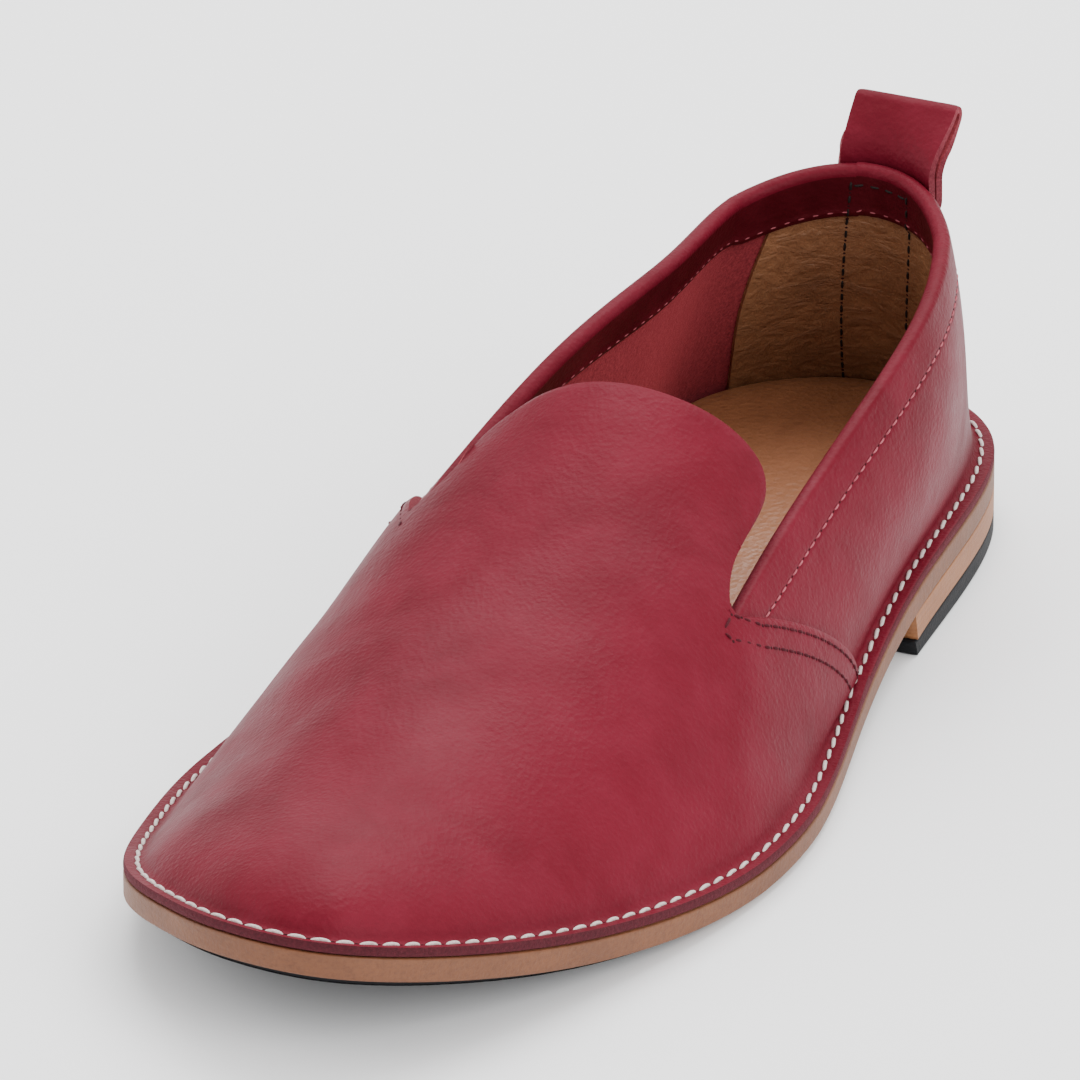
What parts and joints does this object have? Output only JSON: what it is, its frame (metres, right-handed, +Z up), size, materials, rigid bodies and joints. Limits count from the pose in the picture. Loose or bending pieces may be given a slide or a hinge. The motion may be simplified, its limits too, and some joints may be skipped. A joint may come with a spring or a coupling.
{
  "type": "slip-on shoe",
  "caption": "Left slip-on shoe with a plain lapped vamp, low folded collar, heel strip and pull loop, an upper stitched down on a leather outsole and a low heel.",
  "frame": {"origin": "middle of the heel's flat resting face, on the floor", "axes": "+Y from toe to heel, +Z up, +X to the outer side of this left shoe"},
  "size_m": [0.1184, 0.3024, 0.0877],
  "materials": {
    "red_leather": "smooth waxed, softly mottled",
    "tan_leather": "cut and burnished edge",
    "insole_leather": "smooth, fine pores",
    "black_rubber": "matt"
  },
  "bodies": {
    "root": {"upper": "red_leather", "heel_strip_loop": "red_leather", "outsole": "tan_leather", "heel_lift": "tan_leather", "heel_top_piece": "black_rubber", "forefoot_tread": "black_rubber", "insole": "insole_leather"}
  },
  "joints": []
}
